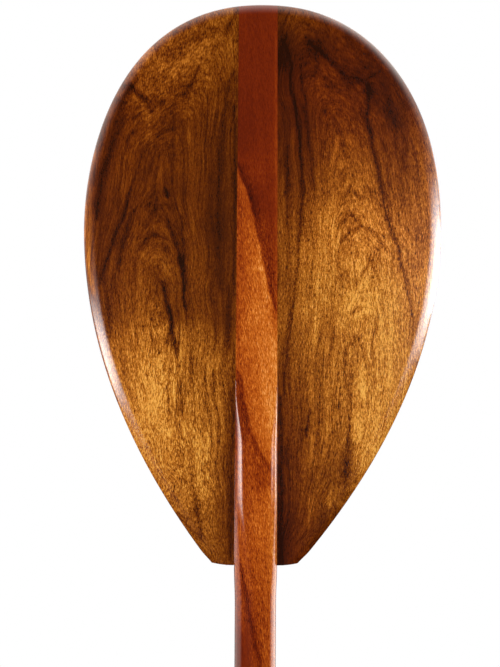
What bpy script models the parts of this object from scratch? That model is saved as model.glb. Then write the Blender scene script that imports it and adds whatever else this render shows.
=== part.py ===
"""A single-blade wooden paddle: two blade boards glued to a shaft that runs on as a spine to the blade's tip.

The paddle stands blade up. +Z runs along the shaft from the grip to the tip, X across the blade and Y through
its thickness. The origin is the lowest point of the grip, on the shaft's axis. Sizes are in metres.
"""

import math

import bmesh
import bpy
from mathutils import Vector

LENGTH = 1.350  # lowest point of the grip to the tip of the blade
GAP = 0.0003  # left between pieces that touch

# The blade's outline is a superellipse above its widest height and a parabola below it.
BLADE_LENGTH = 0.458
BLADE_HALF_WIDTH = 0.146
WIDEST_BELOW_TIP = 0.184
TIP_EXPONENT = 2.2
SHOULDER_HALF_WIDTH = 0.0345
BLADE_OFFSET = 0.0043  # how far the belly's middle lies to the right of the spine's
BLANK_OVERHANG = 0.010  # how far the blank runs below the shoulders before they are sawn

# The blade's thickness
RIM_HALF_THICKNESS = 0.0044
CROWN = 0.0012  # added from the inner edge of the rim's rounding to the middle
RIM_ROUND = 0.0095  # width of the rounding along the rim

# The spine and the shaft
SPINE_TIP_HALF_WIDTH = 0.0158
SPINE_SHOULDER_HALF_WIDTH = 0.0176
SHAFT_HALF_WIDTH = 0.0168
SHAFT_HALF_DEPTH = 0.0145
SPINE_COVER = 0.0001  # how far the rounded shaft stands inside the spine's square sides
NECK_LENGTH = 0.032  # below the shoulders, where the width falls to the shaft's
RISE_BOTTOM = 0.012  # above the shoulders, where the shaft starts to thin
RISE_TOP = 0.199  # above the shoulders, where it has sunk to its least depth, inside the blade
SUNK_HALF_DEPTH = 0.0035
SHAFT_EXPONENT = 2.3  # of the shaft's section; a larger one is squarer
SPINE_EXPONENT = 26
FLARE_LENGTH = 0.050
FLARE_HALF_WIDTH = 0.0195  # the shaft's half width where it meets the grip

# The T grip and its joint
GRIP_HALF_LENGTH = 0.056
GRIP_RADIUS = 0.0165
GRIP_TAPER = 0.14  # share of the radius lost towards the ends
GRIP_END_EXPONENT = 8
TENON_RADIUS = 0.009
TENON_ROOT = 0.030  # how far the tenon reaches into the shaft, above the grip's axis
KERF_DEPTH = 0.019
WEDGE_THICK = 0.0030
WEDGE_THIN = 0.0008

# The dowels through the spine
DOWEL_RADIUS = 0.003
DOWEL_HALF_LENGTH = 0.0385
DOWEL_CHAMFER = 0.0005
DOWEL_HEIGHTS = (0.055, 0.155, 0.255, 0.355)  # above the shoulders

OUTLINE_STEPS = 26  # for each quarter of the outline
RIM_STEPS = 4
FACE_RINGS = (0.3, 0.65, 0.88)  # shares of the way from the blade's middle to its rim's rounding
SECTION_POINTS = 40
FLARE_STEPS = 5
NECK_STEPS = 4
RISE_STEPS = 15
ROUND_SIDES = 24
GRIP_SIDES = 36
GRIP_STEPS = 20
WIDE = 0.200  # reaches past the blade on every side

SHOULDER_Z = LENGTH - BLADE_LENGTH
WIDEST_Z = LENGTH - WIDEST_BELOW_TIP
BLANK_TOP = LENGTH + BLANK_OVERHANG
GRIP_Z = GRIP_RADIUS

MATERIALS = {
    "mahogany": ((0.24, 0.060, 0.014), 0.28),
    "koa": ((0.17, 0.066, 0.018), 0.28),
    "koa_dark": ((0.11, 0.042, 0.013), 0.28),
    "maple": ((0.55, 0.36, 0.19), 0.40),
    "birch": ((0.60, 0.43, 0.26), 0.60),
}


# ---------------------------------------------------------------- helpers


def clear_scene():
    for found in list(bpy.data.objects):
        bpy.data.objects.remove(found)


def new_collection(name):
    made = bpy.data.collections.new(name)
    bpy.context.scene.collection.children.link(made)
    return made


def new_material(name):
    colour, roughness = MATERIALS[name]
    made = bpy.data.materials.new(name)
    made.use_nodes = True
    shader = made.node_tree.nodes["Principled BSDF"]
    shader.inputs["Base Color"].default_value = (*colour, 1.0)
    shader.inputs["Roughness"].default_value = roughness
    shader.inputs["Metallic"].default_value = 0.0
    return made


def place(ob, collection):
    """Puts an object in one collection only."""
    for old in list(ob.users_collection):
        old.objects.unlink(ob)
    collection.objects.link(ob)
    return ob


def as_part(ob, name, material):
    """Names an object as one of the paddle's pieces."""
    ob.name = name
    ob.data.materials.append(new_material(material))
    ob.data.shade_smooth()
    ob.data.set_sharp_from_angle(angle=math.radians(35))
    ob.parent = root
    return place(ob, paddle)


def as_cutter(ob, name):
    """Names an object as a tool that only shapes others."""
    ob.name = name
    ob.hide_render = True
    ob.display_type = "WIRE"
    return place(ob, cutters)


def shape(target, tool, operation):
    """Adds a Boolean of the tool to the target."""
    modifier = target.modifiers.new(tool.name, "BOOLEAN")
    modifier.object = tool
    modifier.operation = operation
    modifier.solver = "EXACT"


def loft(name, rings):
    """A closed body through rings of points, each with as many points, its first and last ring capped."""
    bm = bmesh.new()
    rows = [[bm.verts.new(point) for point in ring] for ring in rings]
    count = len(rows[0])
    for low, high in zip(rows, rows[1:]):
        for i in range(count):
            j = (i + 1) % count
            bm.faces.new((low[i], low[j], high[j], high[i]))
    bm.faces.new(list(reversed(rows[0])))
    bm.faces.new(rows[-1])
    bmesh.ops.recalc_face_normals(bm, faces=bm.faces)
    mesh = bpy.data.meshes.new(name)
    bm.to_mesh(mesh)
    bm.free()
    made = bpy.data.objects.new(name, mesh)
    bpy.context.scene.collection.objects.link(made)
    return made


def slab(name, outline):
    """A flat outline of (x, z) points, made thick through the paddle."""
    rings = [[(x, y, z) for x, z in outline] for y in (-WIDE, WIDE)]
    return as_cutter(loft(name, rings), name)


def rod(name, radius, half_length, middle, along_x=False):
    """A round rod about a middle point, upright or along X."""
    turn = (0.0, math.radians(90) if along_x else 0.0, 0.0)
    bpy.ops.mesh.primitive_cylinder_add(
        vertices=ROUND_SIDES, radius=radius, depth=2 * half_length, location=middle, rotation=turn
    )
    made = bpy.context.object
    made.name = name
    return made


def ease(share):
    """Goes smoothly from 0 to 1 as share does."""
    share = min(max(share, 0.0), 1.0)
    return share * share * (3 - 2 * share)


# ---------------------------------------------------------------- the blade's blank


def lower_side(drop, side):
    """The outline's (x, z) at a distance below the widest height, on the side -1 or 1."""
    depth = drop / (WIDEST_Z - SHOULDER_Z)
    half = BLADE_HALF_WIDTH - (BLADE_HALF_WIDTH - SHOULDER_HALF_WIDTH) * depth**2
    return side * half + BLADE_OFFSET * (1 - depth**2), WIDEST_Z - drop


def upper_side(angle, side):
    """The outline's (x, z) at an angle from the tip (0) to the widest point (90 degrees)."""
    power = 2 / TIP_EXPONENT
    x = side * BLADE_HALF_WIDTH * math.sin(angle) ** power
    return x + BLADE_OFFSET, WIDEST_Z + WIDEST_BELOW_TIP * math.cos(angle) ** power


def half_outline(side):
    """One side of the outline, from the tip to the blank's lower end."""
    quarter = [upper_side(math.radians(90 * i / OUTLINE_STEPS), side) for i in range(OUTLINE_STEPS)]
    reach = WIDEST_Z - SHOULDER_Z + BLANK_OVERHANG
    return quarter + [lower_side(reach * i / OUTLINE_STEPS, side) for i in range(OUTLINE_STEPS + 1)]


def inset(outline, distance):
    """A closed outline moved inwards."""
    moved = []
    for i, point in enumerate(outline):
        ahead = Vector(outline[(i + 1) % len(outline)])
        behind = Vector(outline[i - 1])
        along = (ahead - behind).normalized()
        moved.append(Vector(point) + distance * Vector((along.y, -along.x)))
    return moved


def blank_half(outline, side):
    """The rings of one face of the blank, from its middle to its rim."""
    middle = Vector((BLADE_OFFSET, WIDEST_Z))
    inner = inset(outline, RIM_ROUND)
    rings = []
    for share in FACE_RINGS:
        height = RIM_HALF_THICKNESS + CROWN * (1 - share**2)
        ring = [middle + share * (point - middle) for point in inner]
        rings.append([(point.x, side * height, point.y) for point in ring])
    for step in range(RIM_STEPS, 0, -1):
        angle = math.radians(90 * step / RIM_STEPS)
        ring = inset(outline, RIM_ROUND * (1 - math.cos(angle)))
        rings.append([(point.x, side * RIM_HALF_THICKNESS * math.sin(angle), point.y) for point in ring])
    return rings


def make_blank():
    """Both boards and the spine between them as one crowned body with a rounded rim."""
    right = half_outline(1)
    left = half_outline(-1)
    outline = right + left[:0:-1]
    rim = [[(x, 0.0, z) for x, z in outline]]
    rings = blank_half(outline, -1) + rim + blank_half(outline, 1)[::-1]
    return as_cutter(loft("blade_blank", rings), "blade_blank")


# ---------------------------------------------------------------- the spine and the shaft


def spine_half_width(z):
    """Half the spine's width inside the blade, at a height above the shoulders."""
    share = (z - SHOULDER_Z) / BLADE_LENGTH
    return SPINE_SHOULDER_HALF_WIDTH + (SPINE_TIP_HALF_WIDTH - SPINE_SHOULDER_HALF_WIDTH) * share


def shaft_section(z):
    """The shaft's half width, half depth and squareness at a height."""
    neck = ease((SHOULDER_Z - z) / NECK_LENGTH)
    half_width = spine_half_width(max(z, SHOULDER_Z)) - SPINE_COVER
    half_width += (SHAFT_HALF_WIDTH - half_width) * neck
    flare = 1 - ease((z - GRIP_Z) / FLARE_LENGTH)
    half_width += (FLARE_HALF_WIDTH - half_width) * flare
    rise = ease((z - SHOULDER_Z - RISE_BOTTOM) / (RISE_TOP - RISE_BOTTOM))
    half_depth = SHAFT_HALF_DEPTH + (SUNK_HALF_DEPTH - SHAFT_HALF_DEPTH) * rise
    square = min(max((z - SHOULDER_Z + NECK_LENGTH) / (RISE_TOP + NECK_LENGTH), 0.0), 1.0)
    return half_width, half_depth, SHAFT_EXPONENT * (SPINE_EXPONENT / SHAFT_EXPONENT) ** square


def shaft_ring(z):
    """The shaft's superellipse section at a height."""
    half_width, half_depth, exponent = shaft_section(z)
    ring = []
    for i in range(SECTION_POINTS):
        angle = math.tau * (i + 0.5) / SECTION_POINTS
        cosine = math.cos(angle)
        sine = math.sin(angle)
        x = math.copysign(abs(cosine) ** (2 / exponent), cosine) * half_width
        y = math.copysign(abs(sine) ** (2 / exponent), sine) * half_depth
        ring.append((x, y, z))
    return ring


def shaft_heights():
    """The heights of the shaft's sections, close together where its shape changes."""
    flare = [GRIP_Z + FLARE_LENGTH * i / FLARE_STEPS for i in range(FLARE_STEPS + 1)]
    neck = [SHOULDER_Z - NECK_LENGTH * (1 - i / NECK_STEPS) for i in range(NECK_STEPS + 1)]
    climb = RISE_TOP - RISE_BOTTOM
    rise = [SHOULDER_Z + RISE_BOTTOM + climb * i / RISE_STEPS for i in range(RISE_STEPS + 1)]
    return flare + neck + rise


def sawn_blank(name, outline):
    """A copy of the blank, sawn to an outline of (x, z) points."""
    made = bpy.data.objects.new(name, blank.data.copy())
    bpy.context.scene.collection.objects.link(made)
    shape(made, slab(name + "_saw", outline), "INTERSECT")
    return made


def make_spine_shaft():
    """The whole stick: the shaft, its rise through the throat, and the spine on to the tip."""
    made = loft("spine_shaft", [shaft_ring(z) for z in shaft_heights()])
    low = spine_half_width(SHOULDER_Z)
    high = spine_half_width(BLANK_TOP)
    outline = [(-low, SHOULDER_Z), (low, SHOULDER_Z), (high, BLANK_TOP), (-high, BLANK_TOP)]
    shape(made, as_cutter(sawn_blank("spine_core", outline), "spine_core"), "UNION")
    return made


def make_board(side, name):
    """One half of the blade, from its joint with the spine to the rim, sawn square at the shoulder."""
    low = side * (spine_half_width(SHOULDER_Z) + GAP)
    high = side * (spine_half_width(BLANK_TOP) + GAP)
    far = side * WIDE
    return sawn_blank(name, [(low, SHOULDER_Z), (far, SHOULDER_Z), (far, BLANK_TOP), (high, BLANK_TOP)])


# ---------------------------------------------------------------- the grip


def grip_profile(extra):
    """The grip's outline as (radius, distance along it), from one end to the other."""
    points = []
    for i in range(GRIP_STEPS + 1):
        share = math.cos(math.pi * i / GRIP_STEPS)
        ends = (1 - abs(share) ** GRIP_END_EXPONENT) ** 0.5
        radius = GRIP_RADIUS * (1 - GRIP_TAPER * share**2) * ends
        points.append((radius + extra * ends, share * (GRIP_HALF_LENGTH + extra)))
    return points


def turned_grip(name, extra=0.0):
    """The grip's turned body, larger by extra all round."""
    bm = bmesh.new()
    points = [bm.verts.new((radius, 0.0, along)) for radius, along in grip_profile(extra)]
    for a, b in zip(points, points[1:]):
        bm.edges.new((a, b))
    mesh = bpy.data.meshes.new(name)
    bm.to_mesh(mesh)
    bm.free()
    made = bpy.data.objects.new(name, mesh)
    bpy.context.scene.collection.objects.link(made)
    made.location = (0.0, 0.0, GRIP_Z)
    made.rotation_euler = (0.0, math.radians(90), 0.0)
    screw = made.modifiers.new("turn", "SCREW")
    screw.steps = GRIP_SIDES
    screw.render_steps = GRIP_SIDES
    screw.use_merge_vertices = True
    screw.merge_threshold = 0.0001
    return made


def make_grip():
    """The crosspiece, with a mortise right through it."""
    made = turned_grip("grip")
    mortise = rod("mortise", TENON_RADIUS + GAP, 2 * GRIP_RADIUS, (0.0, 0.0, GRIP_Z))
    shape(made, as_cutter(mortise, "mortise"), "DIFFERENCE")
    return as_part(made, "grip", "koa_dark")


def make_waste():
    """What is sanded off flush below the grip, where the tenon and its wedge stand out."""
    bpy.ops.mesh.primitive_cube_add(size=2 * GRIP_RADIUS, location=(0.0, 0.0, 0.0))
    made = as_cutter(bpy.context.object, "grip_waste")
    shape(made, as_cutter(turned_grip("grip_form"), "grip_form"), "DIFFERENCE")
    return made


def wedge_body(name, extra):
    """The wedge, thick at the grip's outside and thin inside, larger by extra all round."""
    outside = -GRIP_RADIUS / 2
    inside = KERF_DEPTH + extra
    half_width = TENON_RADIUS if extra == 0 else 2 * TENON_RADIUS
    rings = []
    for z, thickness in ((outside, WEDGE_THICK), (inside, WEDGE_THIN)):
        x = thickness / 2 + extra
        rings.append([(-x, -half_width, z), (x, -half_width, z), (x, half_width, z), (-x, half_width, z)])
    return loft(name, rings)


def make_wedge():
    made = wedge_body("grip_wedge", 0.0)
    shape(made, waste, "DIFFERENCE")
    return as_part(made, "grip_wedge", "maple")


def cut_grip_joint(stick):
    """Copes the shaft's end to the grip, adds the tenon and saws its kerf."""
    shape(stick, as_cutter(turned_grip("grip_seat", GAP), "grip_seat"), "DIFFERENCE")
    low = -GRIP_RADIUS / 2
    high = GRIP_Z + TENON_ROOT
    tenon = as_cutter(rod("tenon", TENON_RADIUS, (high - low) / 2, (0.0, 0.0, (high + low) / 2)), "tenon")
    shape(tenon, waste, "DIFFERENCE")
    shape(stick, tenon, "UNION")
    shape(stick, as_cutter(wedge_body("kerf", GAP), "kerf"), "DIFFERENCE")


# ---------------------------------------------------------------- the dowels


def make_dowels(drilled):
    """The dowels through the spine, and their holes in the spine and both boards."""
    for i, height in enumerate(DOWEL_HEIGHTS, start=1):
        middle = (0.0, 0.0, SHOULDER_Z + height)
        drill = rod("drill", DOWEL_RADIUS + GAP, DOWEL_HALF_LENGTH + GAP, middle, along_x=True)
        as_cutter(drill, f"dowel_drill_{i}")
        for wood in drilled:
            shape(wood, drill, "DIFFERENCE")
        dowel = rod("dowel", DOWEL_RADIUS, DOWEL_HALF_LENGTH, middle, along_x=True)
        bevel = dowel.modifiers.new("chamfer", "BEVEL")
        bevel.width = DOWEL_CHAMFER
        bevel.segments = 1
        as_part(dowel, f"cross_dowel_{i}", "birch")


clear_scene()
paddle = new_collection("paddle")
cutters = new_collection("cutters")
root = place(bpy.data.objects.new("paddle_root", None), paddle)

blank = make_blank()
waste = make_waste()
stick = make_spine_shaft()
left = make_board(-1, "board_left")
right = make_board(1, "board_right")
make_dowels([stick, left, right])
cut_grip_joint(stick)
as_part(stick, "spine_shaft", "mahogany")
as_part(left, "board_left", "koa")
as_part(right, "board_right", "koa")
make_grip()
make_wedge()
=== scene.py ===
import math

import bmesh
import bpy
import numpy as np
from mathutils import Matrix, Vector
from mathutils.bvhtree import BVHTree


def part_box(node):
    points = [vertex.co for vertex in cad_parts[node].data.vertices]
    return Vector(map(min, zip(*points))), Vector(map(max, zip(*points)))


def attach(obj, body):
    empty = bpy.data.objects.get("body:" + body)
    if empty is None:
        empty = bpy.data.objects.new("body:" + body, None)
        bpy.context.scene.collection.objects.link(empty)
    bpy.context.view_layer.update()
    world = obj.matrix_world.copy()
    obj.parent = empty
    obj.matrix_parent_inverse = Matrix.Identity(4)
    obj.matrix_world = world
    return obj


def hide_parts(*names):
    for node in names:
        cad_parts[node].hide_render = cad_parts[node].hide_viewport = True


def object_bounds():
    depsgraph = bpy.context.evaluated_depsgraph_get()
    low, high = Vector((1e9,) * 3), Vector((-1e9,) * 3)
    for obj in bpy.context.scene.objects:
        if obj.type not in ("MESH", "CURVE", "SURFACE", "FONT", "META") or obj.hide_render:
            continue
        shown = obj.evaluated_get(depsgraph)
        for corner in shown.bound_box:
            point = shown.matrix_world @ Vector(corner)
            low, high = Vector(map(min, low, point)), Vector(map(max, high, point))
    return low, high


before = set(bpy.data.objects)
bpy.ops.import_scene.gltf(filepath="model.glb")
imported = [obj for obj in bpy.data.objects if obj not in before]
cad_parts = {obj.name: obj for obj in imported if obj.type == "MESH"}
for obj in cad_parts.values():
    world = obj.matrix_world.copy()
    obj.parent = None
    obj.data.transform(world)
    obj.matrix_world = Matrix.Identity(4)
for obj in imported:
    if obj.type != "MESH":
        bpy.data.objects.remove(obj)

# The looks of a wooden single-blade paddle: fine meshes for the two blade boards, the spine that is also the
# shaft, and the grip, with figured lacquered woods. The paddle stands blade up; sizes are in metres.
# Places on the blade are pairs of millimetres: across from the spine's middle, and below the blade's tip.

# ------ sizes, from the frame

CAD_LOW, CAD_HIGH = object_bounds()
LEFT_LOW, LEFT_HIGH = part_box("board_left")
_, RIGHT_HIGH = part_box("board_right")
GRIP_LOW, GRIP_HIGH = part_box("grip")

LENGTH = CAD_HIGH.z
SHOULDER_Z = LEFT_LOW.z
BLADE_LENGTH = LENGTH - SHOULDER_Z
BLADE_HALF_WIDTH = (RIGHT_HIGH.x - LEFT_LOW.x) / 2
BLADE_OFFSET = (RIGHT_HIGH.x + LEFT_LOW.x) / 2
BLADE_HALF_THICKNESS = LEFT_HIGH.y
GRIP_HALF_LENGTH = GRIP_HIGH.x
GRIP_RADIUS = (GRIP_HIGH.z - GRIP_LOW.z) / 2
GRIP_Z = (GRIP_HIGH.z + GRIP_LOW.z) / 2

# The blade: a superellipse above its widest height and a parabola below it, both changed a little on the left
WIDEST_BELOW_TIP = 0.184
WIDEST_Z = LENGTH - WIDEST_BELOW_TIP
TIP_EXPONENT = 2.2
SHOULDER_HALF_WIDTH = 0.0345
LEFT_TUCK = 0.00175  # the left side is slacker above the widest height
LEFT_BULGE = 0.0012  # and fuller below it
LEFT_POWER = 1.5  # how softly both of these set in
BLANK_OVERHANG = 0.010
CROWN = 0.0012
RIM_HALF_THICKNESS = BLADE_HALF_THICKNESS - CROWN
RIM_ROUND = 0.0095
SHOULDER_ARCH = 0.0016  # how far the sawn shoulders rise from the spine to their corners
SHOULDER_ARCH_REACH = 0.012
SHOULDER_EDGE = 0.0007  # width of the eased edges of a sawn face
SAWN_REACH = 0.004  # a sawn face lies no higher above the shoulder
SAWN_TILT = -0.9  # and its normal points down more than this
SAWN_EDGE_ANGLE = 0.6  # an edge that is eased bends more than this, in radians

SPINE_TIP_HALF_WIDTH = 0.0158
SPINE_SHOULDER_HALF_WIDTH = 0.0176
GLUE_LINE = -0.00003  # the boards and the spine touch without a gap
TIP_Z = LENGTH - 3 * RIM_ROUND  # above this the spine's end follows the blade's
JUST_INSIDE = 1 - 1e-5  # where the blade is measured, as a share of the way out

# The shaft: what it measures, and the heights above the shoulders between which it changes
SHAFT_HALF_WIDTH = 0.0168
SHAFT_HALF_DEPTH = 0.0145
SUNK_HALF_DEPTH = 0.0035
RISE = (0.012, 0.199)
NECK_LENGTH = 0.032
FLARE_LENGTH = 0.050
FLARE_HALF_WIDTH = 0.0195
FACE_CROWN = 0.03  # share of the depth that the spine's flat face loses towards its corners
CORNER = 0.0070  # width of the rounded corners in the throat
CORNER_SPAN = (0.092, 0.146)  # heights above the shoulders between which they fade out
OVAL_START = 0.056  # and the height below which they grow into the shaft's oval
CORNER_LEAST = 0.0003
SECTION_EXPONENT = 2.3

GRIP_TAPER = 0.14
GRIP_END_EXPONENT = 8
TENON_RADIUS = 0.009
TENON_ROOT = 0.030
KERF_DEPTH = 0.019
WEDGE_THICK = 0.0030
WEDGE_THIN = 0.0008
JOINT_GAP = 0.00012

OUTLINE_STEPS = 150  # for each quarter of the outline
SHOULDER_STEPS = 26
FACE_STEPS = 108
RIM_STEPS = 12
FLAT_STEPS = 28
CORNER_STEPS = 14
SIDE_STEPS = 4
BLADE_RING = 0.0016  # spacing of the spine's sections in the blade
SHAFT_RING = 0.0032
GRIP_SIDES = 96
GRIP_STEPS = 72
ROUND_ANGLES = [math.tau * k / GRIP_SIDES for k in range(GRIP_SIDES)]
SHARP_ANGLE = math.radians(38)
# Points nearer to each other than these are one
SAW_MERGE = 1e-7
SLIVER = 1e-6
STICK_MERGE = 2e-6
GRIP_MERGE = 1e-5

# ------ light and camera

FILL_FRONT = 0.74  # light on the wood from in front
FILL_BACK = 1.12  # and from behind
WHITE = (1.0, 1.0, 1.0, 1.0)
# Soft lights that the gloss shows all round the sides: the side (0 for both), between which degrees above the
# horizon it comes in and goes out, between which degrees from straight behind it goes out, brightness.
GLOWS = (
    (0, (-3, 22), (160, 178), (105, 165), 3.2),
    (1, (28, 42), (65, 78), (100, 150), 3.3),
    (-1, (-20, -10), (10, 25), (95, 115), 1.6),
    (1, (-20, -10), (10, 25), (78, 105), 5.0),
)
GLOW_BEHIND = (15, 50)  # degrees from straight behind over which the glows come in
GLOW_SIDES = (-0.01, 0.01)  # how far to its own side a glow comes in
GLOW_COLOUR = (1.0, 0.93, 0.87, 1.0)

# Softboxes beside the paddle, which show only in its gloss. Each is a nest of panels, for a soft edge: what
# it shines on, how far off it is to the right (left is below 0), the heights and the depths of its core and
# then of its whole, brightness.
SOFTBOXES = (
    ("boards", -2.15, (0.36, 0.56), (-3.5, -0.75), (0.17, 0.83), (-13.75, -0.25), 24.0),
    ("boards", 0.95, (0.95, 1.23), (-0.9, -0.1), (0.80, 1.36), (-7.0, -0.1), 21.0),
    ("boards", 0.95, (0.89, 0.94), (-1.4, -0.5), (0.83, 0.99), (-4.0, -0.3), 14.0),
    ("boards", 0.95, (0.99, 1.17), (-0.8, 0.3), (0.93, 1.22), (-1.7, 0.5), 34.0),
    ("stick", -0.95, (1.12, 1.32), (-2.6, -0.7), (0.96, 1.45), (-6.0, -0.3), 16.0),
    ("stick", 0.95, (1.16, 1.34), (-1.0, -0.5), (1.05, 1.45), (-1.8, -0.3), 12.0),
)
PANEL_COLOURS = {"boards": (1.0, 1.0, 1.0), "stick": (1.0, 0.92, 0.86)}
NEST = 3  # panels in a softbox
NEST_GAP = 0.02
KEY_PLACE = (-1.3, -1.9, 2.0)
KEY_SIZE = (1.0, 1.0)
KEY_POWER = 14.0

FLOOR_RADIUS = 6.0
FLOOR_SIDES = 128
FLOOR_DROP = 0.0005
FLOOR_COLOUR = (0.86, 0.86, 0.86, 1.0)
FLOOR_ROUGHNESS = 0.9

# The camera looks straight at the blade from in front, a little rolled, through a long lens.
VIEW_HEIGHT = 0.5455  # of the frame at the paddle
VIEW_MIDDLE = (-0.00545, 1.0813)
VIEW_ROLL = 0.286
CAMERA_DISTANCE = 2.5
CAMERA_FAR = 100.0
SENSOR = 36.0

# ------ the woods' colours

# From dark to light, as (place on the ramp, screen colour)
KOA_RAMP = (
    (0.0, (40, 13, 0)), (0.2, (76, 28, 0)), (0.4, (112, 50, 0)), (0.6, (148, 81, 12)), (0.8, (188, 111, 29)),
    (1.0, (220, 144, 47)), (1.25, (243, 178, 80)),
)
MAHOGANY_RAMP = (
    (0.0, (52, 12, 4)), (0.25, (98, 27, 4)), (0.4, (124, 39, 4)), (0.6, (158, 64, 8)), (0.8, (190, 90, 17)),
    (1.0, (222, 124, 36)), (1.25, (246, 170, 90)),
)
RED_WOOD = (1.0, 0.72, 0.6)  # what reddish koa keeps of the ramp's red, green and blue
MAPLE_RAMP = ((0.0, (150, 104, 58)), (0.5, (196, 150, 96)), (1.0, (226, 190, 138)))
BIRCH_RAMP = ((0.0, (170, 134, 92)), (0.5, (204, 172, 128)), (1.0, (228, 204, 166)))
COAT_ROUGHNESS = 0.13
GRAIN_RELIEF = (0.0002, 0.25)  # the depth of the grain, and how strongly it shows
PALE_RELIEF = (0.0001, 0.3)

# ------ the woods' figure, and the light and shade painted into it

MM = 0.001  # the unit of the figure's places
MARK_SLACK = 30.0  # how freely a smooth field passes beside its marks
PLACES_AT_ONCE = 20000
TONE_RANGE = (0.02, 1.1)
BACK_ACROSS = 7  # how far the figure wanders across from the front to the back
BACK_WAVE = 60  # how slowly that comes and goes along the blade
BACK_DOWN = 26  # how far the figure moves down
STREAK_EDGE = 1.6  # over what width a one-sided streak starts
STREAK_END = 0.35  # share of its width that a streak keeps at its ends
STREAK_CORE = 0.6  # share of its strength that isn't in its halo
HALO = 2.4  # how many times wider than a streak its faint halo is
# How far streaks waver, and over what lengths down and across
WAVERS = ((0.40, 4.1, 9), (0.20, 1.9, -6))

# Growth rings show as nested arches: each ring's number, and places along one side of it
LEFT_RINGS = (
    (0, ((-16, 45), (-18, 94), (-18, 159), (-19, 233), (-18, 339), (-18, 454))),
    (0, ((-27, 6), (-56, 23), (-88, 43), (-118, 74), (-135, 119), (-142, 168))),
    (5, ((-25, 45), (-28, 94), (-31, 159), (-29, 233), (-25, 339), (-22, 438))),
    (5, ((-35, 33), (-56, 47), (-80, 65), (-96, 71), (-111, 82), (-122, 110), (-129, 151), (-134, 192))),
    (12, ((-60, 72), (-38, 70), (-43, 119), (-44, 176), (-42, 241), (-38, 323), (-33, 390), (-25, 440))),
    (12, ((-80, 84), (-100, 98), (-112, 127), (-120, 176), (-130, 233), (-124, 274))),
    (20, ((-66, 92), (-55, 98), (-55, 159), (-52, 233), (-49, 307), (-42, 378), (-31, 430))),
    (20, ((-76, 102), (-96, 119), (-102, 147), (-108, 172), (-119, 209), (-120, 249), (-113, 299),
          (-102, 334))),
    (28, ((-75, 122), (-67, 127), (-62, 176), (-57, 233), (-54, 290), (-52, 345), (-44, 395), (-32, 440))),
    (28, ((-84, 143), (-100, 172), (-110, 200), (-114, 233), (-110, 274), (-99, 323), (-86, 364),
          (-70, 398))),
    (36, ((-84, 190), (-75, 192), (-66, 200), (-61, 233), (-59, 274), (-59, 323), (-50, 370), (-39, 410),
          (-28, 452))),
    (36, ((-96, 200), (-101, 233), (-100, 274), (-91, 323), (-80, 360), (-64, 396), (-48, 430))),
    (44, ((-81, 217), (-71, 241), (-69, 282), (-69, 339), (-57, 378), (-44, 412), (-31, 450))),
    (44, ((-89, 241), (-87, 282), (-83, 323), (-72, 362), (-57, 398), (-42, 436))),
    (50, ((-79, 258), (-78, 299), (-76, 339), (-64, 376), (-50, 410), (-36, 448))),
)
RIGHT_RINGS = (
    (0, ((18, 45), (19, 159), (19, 323), (20, 454))),
    (0, ((34, 11), (67, 29), (96, 50), (120, 79), (139, 119), (149, 168))),
    (6, ((26, 45), (32, 94), (37, 151), (33, 225), (26, 282), (24, 364), (22, 438))),
    (6, ((41, 31), (56, 45), (75, 58), (98, 68), (115, 88), (128, 119), (136, 159), (140, 200), (137, 258))),
    (14, ((50, 66), (37, 74), (41, 94), (45, 143), (45, 200), (42, 266), (39, 339), (33, 413))),
    (14, ((63, 71), (85, 86), (102, 110), (115, 151), (125, 192), (130, 241), (127, 282))),
    (22, ((64, 90), (55, 102), (55, 143), (53, 200), (50, 266), (47, 339), (42, 390), (32, 436))),
    (22, ((72, 98), (85, 119), (95, 151), (109, 196), (118, 241), (121, 282))),
    (25, ((70, 118), (60, 138), (56, 180))),
    (25, ((83, 138), (98, 172), (110, 214))),
    (28, ((77, 143), (64, 168), (60, 209), (57, 258), (54, 323), (51, 370), (43, 412))),
    (28, ((88, 164), (102, 192), (111, 233), (112, 282), (110, 325))),
    (34, ((82, 177), (69, 192), (65, 210), (66, 241), (62, 274), (60, 323), (59, 365), (49, 405), (33, 445))),
    (34, ((105, 200), (107, 241), (108, 290), (103, 330), (91, 368), (74, 402))),
    (40, ((92, 210), (80, 233), (72, 284), (71, 307), (71, 356), (64, 390), (51, 420), (36, 448))),
    (40, ((99, 233), (101, 274), (98, 331), (88, 366), (70, 400), (52, 432))),
    (46, ((91, 258), (87, 307), (83, 356), (76, 384), (60, 414), (44, 440))),
)
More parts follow.
